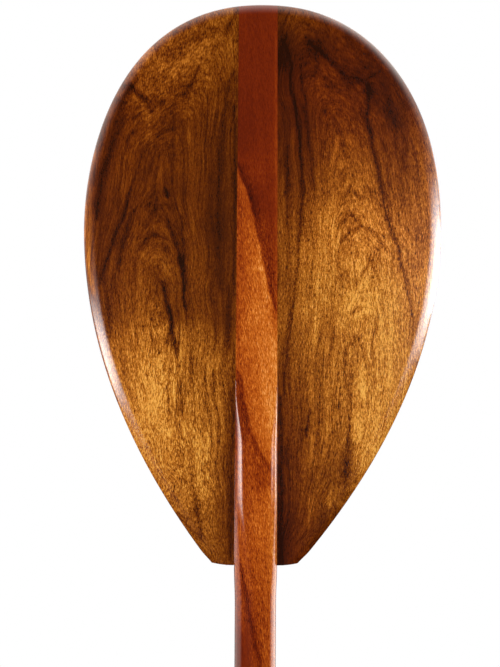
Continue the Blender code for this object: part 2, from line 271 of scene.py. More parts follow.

# How light the wood is around each place, from 0 (nearly black) to 1 (light gold). Besides the figure, these
# tables hold painted light and shade: the blade darkening towards its tip and turning lighter gold towards
# its shoulders is partly the wood and partly painted.
LEFT_TONES = (
    (-17, 20, .42), (-35, 20, .48), (-64, 37, .51), (-43, 38, .44), (-21, 45, .42), (-105, 68, .44),
    (-80, 61, .5), (-56, 65, .46), (-29, 65, .38), (-119, 94, .26), (-96, 94, .38), (-68, 90, .3),
    (-47, 90, .34), (-21, 90, .28), (-133, 143, .3), (-108, 131, .31), (-80, 139, .26), (-54, 131, .32),
    (-30, 139, .25), (-19, 135, .24), (-135, 180, .28), (-114, 180, .27), (-92, 182, .33), (-67, 184, .31),
    (-51, 188, .33), (-30, 188, .18), (-19, 188, .27), (-132, 225, .32), (-114, 229, .38), (-92, 221, .42),
    (-69, 227, .42), (-55, 229, .37), (-42, 229, .39), (-29, 229, .22), (-19, 233, .34), (-123, 270, .58),
    (-104, 262, .49), (-87, 262, .68), (-75, 262, .66), (-66, 258, .4), (-53, 266, .57), (-41, 262, .44),
    (-28, 262, .29), (-19, 266, .36), (-113, 299, .72), (-99, 299, .74), (-83, 303, 1.0), (-69, 299, .8),
    (-54, 299, .7), (-38, 299, .66), (-23, 299, .52), (-102, 327, .78), (-83, 331, 1.04), (-66, 333, .76),
    (-46, 333, .74), (-28, 333, .58), (-20, 333, .37), (-90, 356, .98), (-75, 360, .8), (-58, 364, .8),
    (-42, 364, .88), (-30, 364, .54), (-21, 364, .42), (-76, 384, .8), (-58, 384, .78), (-40, 384, .86),
    (-29, 384, .46), (-21, 384, .38), (-62, 409, .72), (-52, 409, .72), (-40, 406, .74), (-29, 409, .42),
    (-21, 409, .36), (-48, 433, .5), (-40, 433, .64), (-31, 433, .46), (-37, 454, .48), (-26, 454, .42),
)
RIGHT_TONES = (
    (21, 12, .32), (38, 16, .34), (23, 38, .08), (34, 38, .24), (49, 37, .12), (63, 41, .21), (77, 43, .2),
    (25, 63, .15), (34, 65, .2), (49, 65, .28), (63, 68, .27), (82, 65, .21), (100, 68, .18), (115, 74, .24),
    (21, 90, .2), (33, 92, .16), (47, 90, .3), (63, 88, .34), (80, 88, .3), (93, 88, .27), (108, 90, .2),
    (125, 98, .32), (22, 119, .24), (35, 119, .26), (48, 119, .36), (62, 117, .52), (77, 117, .48),
    (94, 119, .4), (108, 119, .32), (121, 119, .36), (136, 127, .5), (22, 151, .34), (36, 151, .32),
    (50, 151, .52), (61, 151, .62), (76, 147, .62), (90, 151, .65), (107, 151, .48), (123, 151, .48),
    (141, 155, .56), (22, 182, .46), (35, 182, .52), (48, 182, .72), (61, 182, .86), (72, 182, .64),
    (86, 182, .84), (99, 182, .82), (110, 182, .78), (127, 182, .66), (145, 188, .72), (22, 221, .5),
    (35, 221, .65), (48, 221, .84), (61, 221, .84), (73, 221, .84), (88, 221, .98), (105, 221, .92),
    (119, 221, .79), (137, 225, .9), (22, 266, .52), (34, 266, .58), (47, 266, .83), (60, 266, .62),
    (75, 262, .98), (89, 262, .87), (107, 264, .96), (124, 266, .75), (23, 307, .36), (34, 305, .58),
    (47, 305, .58), (60, 305, .68), (73, 305, .78), (85, 305, .86), (101, 305, .82), (116, 305, .88),
    (23, 344, .36), (34, 344, .42), (47, 344, .52), (60, 344, .64), (72, 344, .68), (84, 344, .94),
    (98, 344, .88), (22, 380, .3), (34, 380, .38), (47, 380, .5), (61, 380, .48), (73, 380, .5),
    (84, 376, .84), (22, 417, .24), (35, 417, .32), (48, 415, .42), (61, 413, .46), (54, 434, .3),
    (66, 420, .42), (22, 446, .2), (35, 446, .3),
)
# How reddish the koa is around each place. Near the left rim the marks are partly painted light, warming the
# rim along with its painted light band.
LEFT_REDS = (
    (-60, 20, .2), (-120, 70, .5), (-60, 100, .2), (-130, 200, .4), (-60, 200, .1), (-60, 300, 0),
    (-30, 440, 0),
)
RIGHT_REDS = (
    (30, 20, .2), (30, 60, .9), (70, 50, 1.0), (110, 70, .8), (40, 110, .6), (75, 90, .9), (125, 110, .6),
    (30, 160, .2), (80, 140, .3), (130, 160, .4), (88, 190, .4), (40, 230, 0), (100, 235, 0), (135, 230, .4),
    (40, 330, .1), (90, 330, 0), (25, 380, .5), (45, 400, .2), (25, 440, .9), (50, 440, .3),
)
SPINE_TONES = (
    (-10, 10, .34), (0, 10, .3), (10, 10, .34), (-10, 60, .3), (0, 60, .32), (12, 60, .32), (-12, 120, .3),
    (0, 120, .34), (12, 120, .38), (-14, 150, .52), (0, 158, .36), (12, 158, .38), (-12, 184, .6),
    (0, 184, .62), (12, 184, .42), (-12, 215, .61), (0, 215, .88), (12, 215, .54), (-12, 250, .66),
    (0, 250, 1.0), (12, 250, .72), (-13, 285, .74), (-2, 288, .78), (12, 285, 1.0), (-14, 315, .6),
    (0, 315, .78), (12, 315, 1.0), (-13, 340, .5), (0, 340, .78), (12, 335, 1.0), (-12, 365, .6),
    (2, 365, .62), (12, 365, .82), (-6, 390, .6), (6, 390, .52), (12, 395, .82), (16, 395, .92),
    (-10, 415, .62), (4, 415, .74), (12, 415, .84), (16, 420, .95), (-10, 450, .66), (0, 450, .66),
    (12, 450, .8), (16, 450, .95), (-10, 500, .5), (0, 500, .52), (10, 500, .68), (-8, 520, .36),
    (8, 520, .66), (0, 620, .56), (0, 900, .56), (0, 1340, .54),
)

# Single streaks: how much lighter or darker, half width, the path, and the side that a one-sided streak
# keeps to (1 for the right of the path as it runs down, -1 for its left). Each tapers to its ends.
LEFT_STREAKS = (
    (-.25, 1.8, ((-17, 9), (-22, 18), (-28, 29))),
    (-.26, 2.6, ((-47, 52), (-53, 65), (-59, 74), (-65, 77))),
    (-.14, 1.6, ((-43, 27), (-65, 37), (-88, 52))),
    (-.14, 1.6, ((-51, 19), (-76, 33), (-97, 50))),
    (-.2, 2.0, ((-114, 77), (-103, 70), (-91, 81), (-88, 88))),
    (-.18, 2.0, ((-106, 68), (-96, 78), (-80, 83), (-65, 78))),
    (-.16, 1.6, ((-68, 83), (-69, 102), (-68, 128))),
    (-.4, 2.2, ((-76, 151), (-73, 159))),
    (-.24, 4.0, ((-98, 64), (-108, 80), (-113, 100), (-117, 115), (-124, 135), (-129, 152), (-131, 179))),
    (-.32, 1.8, ((-101, 145), (-108, 172), (-119, 200), (-130, 233))),
    (-.24, 1.8, ((-101, 169), (-110, 196), (-114, 220))),
    (-.26, 1.7, ((-97, 204), (-91, 193), (-84, 189), (-73, 193))),
    (-.3, 2.3, ((-74, 176), (-66, 199), (-62, 212), (-60, 235))),
    (-.26, 3.0, ((-64, 205), (-62, 215))),
    (-.28, 2.0, ((-62, 173), (-60, 200), (-58, 235))),
    (-.18, 3.6, ((-19, 55), (-26, 78), (-28, 94), (-31, 143), (-32, 168), (-29, 237))),
    (-.22, 1.8, ((-19, 83), (-18, 159), (-19, 238))),
    (-.16, 5.0, ((-118, 223), (-122, 249), (-121, 276))),
    (-.38, 2.5, ((-78, 227), (-72, 251), (-69, 268), (-66, 290))),
    (-.26, 4.0, ((-73, 248), (-70, 266), (-67, 284))),
    (-.34, 1.6, ((-60, 231), (-58, 251))),
    (-.38, 2.0, ((-62, 308), (-61, 323), (-62, 338))),
    (-.26, 1.4, ((-54, 279), (-53, 310))),
    (-.24, 1.4, ((-42, 297), (-41, 325))),
    (-.24, 1.4, ((-35, 299), (-35, 323))),
    (-.34, 2.2, ((-53, 362), (-53, 385), (-49, 409), (-43, 441))),
    (-.24, 1.5, ((-69, 398), (-64, 411))),
    (-.2, 3.6, ((-23, 230), (-23, 281))),
    # Dark wood along the left joint, with painted shade beside the spine where it stands proud lower down
    (-.26, 2.0, ((-19, 275), (-19, 348), (-20, 397), (-20, 429), (-20, 456))),
    (-.14, 1.8, ((-72, 287), (-72, 319), (-71, 351))),
    (.1, 4.6, ((-33, 31), (-56, 47), (-68, 57), (-80, 65))),
    (.14, 3.0, ((-18, 7), (-30, 16), (-43, 21))),
    (.08, 5.0, ((-39, 35), (-40, 71))),
    (.16, 2.2, ((-101, 76), (-88, 94), (-86, 120))),
    (.12, 3.4, ((-108, 117), (-110, 161))),
    (.08, 5.0, ((-53, 76), (-53, 235))),
    (.08, 5.0, ((-80, 290), (-78, 323), (-74, 361))),
    # Painted light: a light band along the upper-left rim, standing in for the light that rim catches
    (.5, 5.5, ((-70, 21), (-99, 45), (-121, 78), (-132, 111), (-138, 144), (-140, 176), (-139, 209),
               (-135, 241))),
)
RIGHT_STREAKS = (
    (-.12, 5.0, ((23, 27), (23, 56))),
    (-.3, 1.9, ((20, 31), (28, 49), (26, 61), (31, 86), (35, 115), (37, 151), (35, 180), (32, 225),
                (27, 266), (23, 299), (22, 320))),
    (-.22, 1.8, ((34, 50), (40, 90), (41, 106), (45, 127), (47, 163))),
    (-.22, 1.7, ((25, 115), (24, 151), (25, 187))),
    (-.24, 2.4, ((39, 29), (56, 45), (71, 60), (88, 64), (100, 57))),
    (-.1, 6.0, ((103, 58), (113, 102))),
    (-.14, 4.0, ((120, 81), (121, 138))),
    (-.4, 1.9, ((91, 68), (90, 94), (95, 119), (100, 143), (105, 172), (114, 196), (120, 225), (127, 258))),
    (-.28, 3.2, ((90, 66), (93, 75))),
    (-.24, 1.5, ((68, 163), (77, 148), (84, 161))),
    (-.3, 1.5, ((65, 186), (76, 170), (85, 182))),
    (-.34, 1.6, ((68, 195), (76, 185), (86, 182), (96, 187), (106, 204))),
    (-.26, 1.6, ((81, 230), (92, 210), (101, 228))),
    (-.16, 2.2, ((69, 191), (65, 210), (69, 229), (64, 249), (62, 274), (56, 307))),
    (-.2, 1.8, ((84, 267), (72, 284), (71, 294), (74, 321))),
    (-.12, 3.4, ((76, 290), (75, 323))),
    (-.18, 3.0, ((76, 335), (74, 364), (73, 390))),
    (-.2, 5.0, ((76, 356), (74, 395))),
    (-.24, 2.4, ((65, 222), (62, 243), (60, 262))),
    (-.34, 2.0, ((43, 331), (41, 354))),
    (-.08, 6.0, ((30, 323), (29, 389), (28, 454))),
    (-.18, 3.0, ((57, 411), (57, 432))),
    (.16, 2.6, ((21, 140), (21, 187))),
    (.22, 1.5, ((45, 353), (46, 384))),
    (.22, 1.5, ((44, 402), (44, 433))),
    (.2, 3.0, ((61, 400), (61, 414))),
    (.1, 2.6, ((85, 278), (86, 317), (85, 350))),
    (.08, 2.6, ((97, 272), (97, 311), (95, 340))),
    (.12, 2.6, ((110, 272), (108, 303), (106, 333))),
    # Painted shade beside the raised spine, on the right board's own dark wood along the joint
    (-.32, 3.8, ((19, 320), (20, 350), (21, 400), (21, 480))),
)
# Two sweeps across the spine, at which its wood changes colour
UPPER_SWEEP = ((-16.8, 132), (-9.8, 150), (-4.8, 164), (-3.0, 176), (0.6, 190), (4.6, 209), (8.4, 228),
               (14.6, 250))
LOWER_SWEEP = ((-14.5, 300), (-11.0, 311), (-7.6, 331), (-3.4, 348), (1.6, 360), (8.2, 372), (13.2, 379))
SPINE_STREAKS = (
    (-.3, 9.0, UPPER_SWEEP, 1),
    (.16, 8.0, UPPER_SWEEP, -1),
    (.16, 1.3, ((14.6, 24), (15.4, 127), (16.2, 249))),
    (-.24, 8.0, LOWER_SWEEP, -1),
    (.06, 6.0, LOWER_SWEEP, 1),
    (.12, 0.8, ((-7.0, 352), (-2.4, 364), (4.4, 376))),
    (-.3, 2.2, ((-12.5, 456), (-9.6, 472), (-6.8, 487), (-3.4, 505), (2.4, 530), (8.6, 556))),
    (-.14, 1.0, ((-9.4, 448), (-4.4, 460), (2.3, 476))),
)


def ease(share):
    """Goes smoothly from 0 to 1 as share does."""
    share = min(max(share, 0.0), 1.0)
    return share * share * (3 - 2 * share)


def between(first, second, share):
    return [a + (b - a) * share for a, b in zip(first, second)]


def smooth_field(marks, places):
    """The values, at an array of places, of the thin plate through marks of (across, below, value)."""
    marks = np.array(marks, float)
    knots, values = marks[:, :2], marks[:, 2]

    def basis(points):
        spread = ((points[:, None, :] - knots[None, :, :]) ** 2).sum(axis=2)
        return np.hstack([spread * np.log(spread + 1e-9), np.ones((len(points), 1)), points])

    count = len(knots)
    rows = basis(knots)
    rows[:, :count] += np.eye(count) * MARK_SLACK
    matrix = np.vstack([rows, np.hstack([rows[:, count:].T, np.zeros((3, 3))])])
    weights = np.linalg.solve(matrix, np.append(values, np.zeros(3)))
    parts = np.array_split(places, len(places) // PLACES_AT_ONCE + 1)
    return np.concatenate([basis(part) @ weights for part in parts])


def streak_field(streaks, places):
    """How much the streaks lighten or darken each of an array of places."""
    found = np.zeros(len(places))
    across, below = places.T
    wander = sum(size * np.sin(below / down + across / over) for size, down, over in WAVERS)
    places = np.column_stack([across + wander, below])
    for strength, half_width, path, *side in streaks:
        path = np.array(path, float)
        whole = np.linalg.norm(np.diff(path, axis=0), axis=1).sum()
        done = 0.0
        nearest = np.full(len(places), np.inf)
        turn = along = np.zeros(len(places))
        for start, end in zip(path, path[1:]):
            run = end - start
            length = np.hypot(*run)
            offset = places - start
            share = np.clip(offset @ run / length**2, 0.0, 1.0)
            away = offset - share[:, None] * run
            distance = np.hypot(*away.T)
            closer = distance < nearest
            nearest = np.where(closer, distance, nearest)
            turn = np.where(closer, (run[1] * away[:, 0] - run[0] * away[:, 1]) / length, turn)
            along = np.where(closer, (done + share * length) / whole, along)
            done += length
        taper = STREAK_END + (1 - STREAK_END) * np.sqrt(np.clip(4 * along * (1 - along), 0.0, 1.0))
        near = (nearest / (half_width * taper)) ** 2
        core = np.clip(1 - near, 0.0, 1.0) ** 2
        halo = np.clip(1 - near / HALO**2, 0.0, 1.0) ** 2
        fade = STREAK_CORE * core + (1 - STREAK_CORE) * halo
        if side:
            fade *= np.clip(0.5 + side[0] * turn / STREAK_EDGE, 0.0, 1.0)
        found += strength * fade
    return found


# ------ mesh helpers


def link(name, data):
    made = bpy.data.objects.new(name, data)
    bpy.context.scene.collection.objects.link(made)
    return made


def shade(mesh):
    """Shades a mesh smooth and keeps its sharp edges."""
    mesh.shade_smooth()
    mesh.set_sharp_from_angle(angle=SHARP_ANGLE)


def finished(bm, name):
    """An object of a finished bmesh."""
    bmesh.ops.recalc_face_normals(bm, faces=bm.faces)
    mesh = bpy.data.meshes.new(name)
    bm.to_mesh(mesh)
    bm.free()
    shade(mesh)
    return link(name, mesh)


def loft(rings):
    """A closed bmesh through rings of points."""
    bm = bmesh.new()
    rows = [[bm.verts.new(point) for point in ring] for ring in rings]
    count = len(rows[0])
    for low, high in zip(rows, rows[1:]):
        for i in range(count):
            j = (i + 1) % count
            bm.faces.new((low[i], low[j], high[j], high[i]))
    bm.faces.new(rows[0][::-1])
    bm.faces.new(rows[-1])
    return bm


def cut(target, tool, operation="DIFFERENCE"):
    """Applies a Boolean of the tool to the target and removes the tool."""
    modifier = target.modifiers.new("cut", "BOOLEAN")
    modifier.object = tool
    modifier.operation = operation
    modifier.solver = "EXACT"
    graph = bpy.context.evaluated_depsgraph_get()
    mesh = bpy.data.meshes.new_from_object(target.evaluated_get(graph))
    target.modifiers.clear()
    target.data = mesh
    bpy.data.objects.remove(tool)


def store(ob, name, values):
    """Keeps one number for each vertex, for the materials to read."""
    attribute = ob.data.attributes.new(name, "FLOAT", "POINT")
    attribute.data.foreach_set("value", np.asarray(values, np.float32))


# ------ the blade's blank


def lower_side(drop, side):
    """The outline's (x, z) at a distance below the widest height."""
    depth = drop / (WIDEST_Z - SHOULDER_Z)
    half = BLADE_HALF_WIDTH - (BLADE_HALF_WIDTH - SHOULDER_HALF_WIDTH) * depth**2
    if side < 0:
        half += LEFT_BULGE * depth**LEFT_POWER
    return side * half + BLADE_OFFSET * (1 - depth**2), WIDEST_Z - drop


def upper_side(angle, side):
    """The outline's (x, z) at an angle from the tip (0) to the widest point (90 degrees)."""
    power = 2 / TIP_EXPONENT
    half = BLADE_HALF_WIDTH * math.sin(angle) ** power
    rise = math.cos(angle) ** power
    if side < 0:
        half -= LEFT_TUCK * math.sin(math.pi * rise) ** LEFT_POWER
    return side * half + BLADE_OFFSET, WIDEST_Z + WIDEST_BELOW_TIP * rise


def blank_outline():
    """The whole outline, round the right side, along the lower end and up the left side."""
    reach = WIDEST_Z - SHOULDER_Z + BLANK_OVERHANG
    sides = []
    for side in (1, -1):
        points = [upper_side(math.radians(90 * i / OUTLINE_STEPS), side) for i in range(OUTLINE_STEPS)]
        points += [lower_side(reach * i / OUTLINE_STEPS, side) for i in range(OUTLINE_STEPS + 1)]
        sides.append(points)
    right, left = sides
    low_right, low_left = Vector(right[-1]), Vector(left[-1])
    end = [tuple(low_right.lerp(low_left, i / SHOULDER_STEPS)) for i in range(1, SHOULDER_STEPS)]
    return right + end + left[:0:-1]


def inset(outline, distance):
    """A closed outline moved inwards."""
    moved = []
    for i, point in enumerate(outline):
        ahead = Vector(outline[(i + 1) % len(outline)])
        behind = Vector(outline[i - 1])
        along = (ahead - behind).normalized()
        moved.append(Vector(point) + distance * Vector((along.y, -along.x)))
    return moved


def blank_half(outline, side):
    """The rings of one face of the blank, from its middle to its rim."""
    middle = Vector((BLADE_OFFSET, WIDEST_Z))
    inner = inset(outline, RIM_ROUND)
    rings = []
    for step in range(1, FACE_STEPS):
        share = step / FACE_STEPS
        height = RIM_HALF_THICKNESS + CROWN * (1 - share**2)
        ring = [middle + share * (point - middle) for point in inner]
        rings.append([(point.x, side * height, point.y) for point in ring])
    for step in range(RIM_STEPS, 0, -1):
        angle = math.radians(90 * step / RIM_STEPS)
        ring = inset(outline, RIM_ROUND * (1 - math.cos(angle)))
        rings.append([(point.x, side * RIM_HALF_THICKNESS * math.sin(angle), point.y) for point in ring])
    return rings


def make_blank():
    """A bmesh of the boards and the spine between them as one crowned body with a rounded rim."""
    outline = blank_outline()
    rim = [(x, 0.0, z) for x, z in outline]
    return loft(blank_half(outline, -1) + [rim] + blank_half(outline, 1)[::-1])


def saw(bm, place, outwards):
    """Cuts off what lies beyond a plane and closes the cut."""
    geometry = bm.verts[:] + bm.edges[:] + bm.faces[:]
    result = bmesh.ops.bisect_plane(
        bm, geom=geometry, dist=SAW_MERGE, plane_co=place, plane_no=outwards, clear_outer=True
    )
    edges = [part for part in result["geom_cut"] if isinstance(part, bmesh.types.BMEdge)]
    bmesh.ops.holes_fill(bm, edges=edges, sides=0)


def spine_half_width(z):
    """Half the spine's width inside the blade."""
    share = (z - SHOULDER_Z) / BLADE_LENGTH
    return SPINE_SHOULDER_HALF_WIDTH + (SPINE_TIP_HALF_WIDTH - SPINE_SHOULDER_HALF_WIDTH) * share


def ease_shoulder(bm):
    """Rounds the edges of a board's sawn lower end."""
    bm.normal_update()
    edges = set()
    for face in bm.faces:
        if face.normal.z < SAWN_TILT and face.calc_center_median().z < SHOULDER_Z + SAWN_REACH:
            edges.update(edge for edge in face.edges if len(edge.link_faces) == 2)
    edges = [edge for edge in edges if edge.calc_face_angle() > SAWN_EDGE_ANGLE]
    bmesh.ops.bevel(bm, geom=edges, offset=SHOULDER_EDGE, segments=3, profile=0.6, affect="EDGES")


def make_board(blank, side, name):
    """One half of the blade, sawn along the spine and at the shoulder, with a gently arched shoulder."""
    bm = blank.copy()
    slope = SPINE_SHOULDER_HALF_WIDTH - SPINE_TIP_HALF_WIDTH
    joint = SPINE_SHOULDER_HALF_WIDTH + GLUE_LINE
    away = Vector((-side * BLADE_LENGTH, 0.0, -slope)).normalized()
    saw(bm, Vector((side * joint, 0.0, SHOULDER_Z)), away)
    saw(bm, Vector((0.0, 0.0, SHOULDER_Z)), Vector((0.0, 0.0, -1.0)))
    for vert in bm.verts:
        near = 1 - (vert.co.z - SHOULDER_Z) / SHOULDER_ARCH_REACH
        out = (abs(vert.co.x) - joint) / (SHOULDER_HALF_WIDTH - joint)
        if near > 0:
            vert.co.z += SHOULDER_ARCH * ease(near) * min(max(out, 0.0), 1.0) ** 2
    ease_shoulder(bm)
    return finished(bm, name)


# ------ the spine and the shaft


def shaft_sizes(z):
    """The shaft's half width, half depth, and the width and depth of its rounded corners at a height."""
    above = z - SHOULDER_Z
    neck = ease(-above / NECK_LENGTH)
    half_width = spine_half_width(max(z, SHOULDER_Z))
    half_width += (SHAFT_HALF_WIDTH - half_width) * neck
    flare = 1 - ease((z - GRIP_Z) / FLARE_LENGTH)
    half_width += (FLARE_HALF_WIDTH - half_width) * flare
    rise = ease((above - RISE[0]) / (RISE[1] - RISE[0]))
    half_depth = SHAFT_HALF_DEPTH + (SUNK_HALF_DEPTH - SHAFT_HALF_DEPTH) * rise
    full = ease((CORNER_SPAN[1] - above) / (CORNER_SPAN[1] - CORNER_SPAN[0]))
    corner = CORNER_LEAST + (CORNER - CORNER_LEAST) * full
    turn = ease((OVAL_START - above) / (OVAL_START + NECK_LENGTH))
    corner_width = corner + (half_width - corner) * turn
    corner_depth = min(corner + (half_depth - corner) * turn, half_depth)
    return half_width, half_depth, corner_width, corner_depth


def section(half_width, half_depth, corner_width, corner_depth):
    """The shaft's section as (x, y) points: a crowned box with rounded corners, the front face first."""
    flat = half_width - corner_width
    front = [(-flat + 2 * flat * i / FLAT_STEPS, half_depth) for i in range(FLAT_STEPS)]
    power = 2 / SECTION_EXPONENT
    for i in range(CORNER_STEPS):
        angle = math.radians(90 * i / CORNER_STEPS)
        x = flat + corner_width * math.sin(angle) ** power
        front.append((x, half_depth - corner_depth + corner_depth * math.cos(angle) ** power))
    side = [(half_width, (half_depth - corner_depth) * (1 - 2 * i / SIDE_STEPS)) for i in range(SIDE_STEPS)]
    back_corner = [(x, -y) for x, y in front[:FLAT_STEPS - 1:-1]]
    half = front + side + back_corner
    points = half + [(-x, -y) for x, y in half]
    return [(x, y * (1 - FACE_CROWN * (x / half_width) ** 2)) for x, y in points]


def spaced(low, high, spacing):
    """Even heights from low to just short of high."""
    count = round((high - low) / spacing)
    return [low + (high - low) * i / count for i in range(count)]


def spine_heights():
    """The heights of the spine's and shaft's sections."""
    top = LENGTH - RIM_ROUND
    rim = [top + RIM_ROUND * math.sin(math.radians(90 * i / RIM_STEPS)) for i in range(RIM_STEPS + 1)]
    return spaced(GRIP_Z, SHOULDER_Z, SHAFT_RING) + spaced(SHOULDER_Z, top, BLADE_RING) + rim


def top_drop(x):
    """How far the blade's outline lies below its tip."""
    share = abs(x - BLADE_OFFSET) / BLADE_HALF_WIDTH
    return WIDEST_BELOW_TIP * (1 - (1 - share**TIP_EXPONENT) ** (1 / TIP_EXPONENT))


def make_stick(blank):
    """The whole stick: the shaft, its rise through the throat, and the spine on to the tip."""
    tree = BVHTree.FromBMesh(blank)

    def surface(x, z):
        """Half the blade's thickness."""
        hit = tree.ray_cast(Vector((x * JUST_INSIDE, -1.0, z)), Vector((0.0, 1.0, 0.0)))
        return -hit[0].y if hit[0] is not None else 0.0

    rings = []
    for z in spine_heights():
        sizes = shaft_sizes(z)
        near_tip = ease((z - TIP_Z) / (2 * RIM_ROUND))
        ring = []
        for x, y in section(*sizes):
            height = z - near_tip * top_drop(x)
            if z > TIP_Z:
                y = math.copysign(surface(x, height), y)
            elif z > SHOULDER_Z and abs(x) < sizes[0] - SLIVER:
                y = math.copysign(max(abs(y), surface(x, height)), y)
            ring.append((x, y, height))
        rings.append(ring)
    rings[-1] = [(x, 0.0, z) for x, y, z in rings[-1]]
    bm = loft(rings)
    bmesh.ops.remove_doubles(bm, verts=bm.verts[:], dist=STICK_MERGE)
    bmesh.ops.dissolve_degenerate(bm, edges=bm.edges[:], dist=SLIVER)
    return finished(bm, "spine_and_shaft")


# ------ the grip


def grip_body(name, extra=0.0):
    """The grip's turned body along X, larger by extra all round."""
    rings = []
    for i in range(GRIP_STEPS + 1):
        share = math.cos(math.pi * (GRIP_STEPS - i) / GRIP_STEPS)
        ends = max(1 - abs(share) ** GRIP_END_EXPONENT, 0.0) ** 0.5
        radius = max(GRIP_RADIUS * (1 - GRIP_TAPER * share**2) * ends + extra * ends, SLIVER)
        along = share * (GRIP_HALF_LENGTH + extra)
        rings.append([(along, radius * math.sin(a), GRIP_Z + radius * math.cos(a)) for a in ROUND_ANGLES])
    bm = loft(rings)
    bmesh.ops.remove_doubles(bm, verts=bm.verts[:], dist=GRIP_MERGE)
    return finished(bm, name)


def rod(name, radius, low, high):
    """An upright round rod."""
    rings = [[(radius * math.cos(a), radius * math.sin(a), z) for a in ROUND_ANGLES] for z in (low, high)]
    return finished(loft(rings), name)


def box_of(name, half_widths, low, high):
    """A tapered upright box, with (half x, half y) at its low and its high end."""
    corners = ((-1, -1), (1, -1), (1, 1), (-1, 1))
    rings = [[(x * a, y * b, z) for a, b in corners] for (x, y), z in zip(half_widths, (low, high))]
    return finished(loft(rings), name)


def make_grip():
    made = grip_body("turned_grip")
    cut(made, rod("mortise", TENON_RADIUS + JOINT_GAP, -GRIP_RADIUS, 3 * GRIP_RADIUS))
    shade(made.data)
    return made


def joint_to_grip(stick):
    """Copes the stick's end to the grip, and adds its tenon with the sawn kerf."""
    cut(stick, grip_body("seat", JOINT_GAP))
    waste = box_of("waste", 2 * ((GRIP_RADIUS, GRIP_RADIUS),), -GRIP_RADIUS, GRIP_Z)
    cut(waste, grip_body("form"))
    low, high = -GRIP_RADIUS / 2, KERF_DEPTH + JOINT_GAP
    tenon = rod("tenon", TENON_RADIUS, low, GRIP_Z + TENON_ROOT)
    cut(tenon, waste)
    cut(stick, tenon, "UNION")
    wide = 2 * TENON_RADIUS
    halves = ((WEDGE_THICK / 2 + JOINT_GAP, wide), (WEDGE_THIN / 2 + JOINT_GAP, wide))
    cut(stick, box_of("kerf", halves, low, high))
    shade(stick.data)


# ------ node trees


class Nodes:
    """A node tree, built up a few nodes at a time."""

    def __init__(self, tree):
        self.nodes, self.links = tree.nodes, tree.links

    def direction(self, output):
        """The (x, y, z) of one of the texture coordinates."""
        place = self.nodes.new("ShaderNodeTexCoord")
        split = self.nodes.new("ShaderNodeSeparateXYZ")
        self.links.new(place.outputs[output], split.inputs[0])
        return split.outputs

    def put(self, socket, value):
        """Links a socket to an output, or gives it a number."""
        if isinstance(value, bpy.types.NodeSocket):
            self.links.new(value, socket)
        else:
            socket.default_value = value

    def fill(self, node, values):
        """Gives a node its inputs, by name or by number."""
        for key, value in values.items():
            self.put(node.inputs[key], value)

    def math(self, operation, *values, clamp=False):
        node = self.nodes.new("ShaderNodeMath")
        node.operation = operation
        node.use_clamp = clamp
        self.fill(node, dict(enumerate(values)))
        return node.outputs[0]

    def chain(self, operation, result, *values):
        """Joins the values one after another."""
        for value in values:
            result = self.math(operation, result, value)
        return result

    def times(self, *values):
        return self.chain("MULTIPLY", *values)

    def total(self, *values):
        return self.chain("ADD", *values)

    def step(self, value, low, high):
        """0 below low, 1 above high, smooth between."""
        node = self.nodes.new("ShaderNodeMapRange")
        node.interpolation_type = "SMOOTHSTEP"
        self.fill(node, {"Value": value, "From Min": low, "From Max": high})
        return node.outputs["Result"]


# ------ materials


def linear(colour):
    """A screen colour, 0 to 255, as the linear colour that Blender works in."""
    shares = np.array(colour) / 255
    return *np.where(shares <= 0.04045, shares / 12.92, ((shares + 0.055) / 1.055) ** 2.4), 1.0


class Wood(Nodes):
    """A lacquered wood's material."""

    def __init__(self, name):
        self.material = bpy.data.materials.new(name)
        self.material.use_nodes = True
        super().__init__(self.material.node_tree)
        self.x, self.y, self.z = self.direction("Object")

    def stored(self, name):
        """A number kept on the mesh's vertices."""
        node = self.nodes.new("ShaderNodeAttribute")
        node.attribute_name = name
        return node.outputs["Fac"]

    def noise(self, place, sizes, detail, rough, seed):
        """Noise from 0 to 1 about 0.5, with grains of the given three sizes, in metres."""
        join = self.nodes.new("ShaderNodeCombineXYZ")
        for socket, value, size in zip(join.inputs, place, sizes):
            self.put(socket, self.math("MULTIPLY_ADD", value, 1 / size, seed))
        node = self.nodes.new("ShaderNodeTexNoise")
        self.fill(node, {"Vector": join.outputs[0], "Scale": 1.0, "Detail": detail, "Roughness": rough})
        return node.outputs["Fac"]

    def swing(self, value, amount):
        """Noise about 0.5 turned into a swing of the given size about 0."""
        return self.math("MULTIPLY", self.math("SUBTRACT", value, 0.5), 2 * amount)

    def ramp(self, value, stops):
        """A colour ramp whose places may run past 1."""
        node = self.nodes.new("ShaderNodeValToRGB")
        top = stops[-1][0]
        elements = node.color_ramp.elements
        while len(elements) < len(stops):
            elements.new(0.5)
        for element, (place, colour) in zip(elements, stops):
            element.position = place / top
            element.color = linear(colour)
        self.put(node.inputs[0], self.math("DIVIDE", value, top, clamp=True))
        return node.outputs["Color"]

    def mix(self, share, first, second):
        node = self.nodes.new("ShaderNodeMix")
        node.data_type = "RGBA"
        self.fill(node, {"Factor": share, 6: first, 7: second})
        return node.outputs[2]

    def tint(self, colour, factor):
        """A colour times a constant one."""
        node = self.nodes.new("ShaderNodeVectorMath")
        node.operation = "MULTIPLY"
        self.fill(node, {0: colour, 1: factor})
        return node.outputs[0]

    def finish(self, colour, roughness, height, relief, lacquer):
        """Joins the wood's looks to its shader."""
        bump = self.nodes.new("ShaderNodeBump")
        self.fill(bump, {"Height": height, "Distance": relief[0], "Strength": relief[1]})
        self.fill(self.nodes["Principled BSDF"], {
            "Base Color": colour, "Roughness": roughness, "Normal": bump.outputs["Normal"], "Metallic": 0.0,
            "Specular IOR Level": 0.0, "Coat Weight": lacquer, "Coat Roughness": COAT_ROUGHNESS,
        })
        return self.material


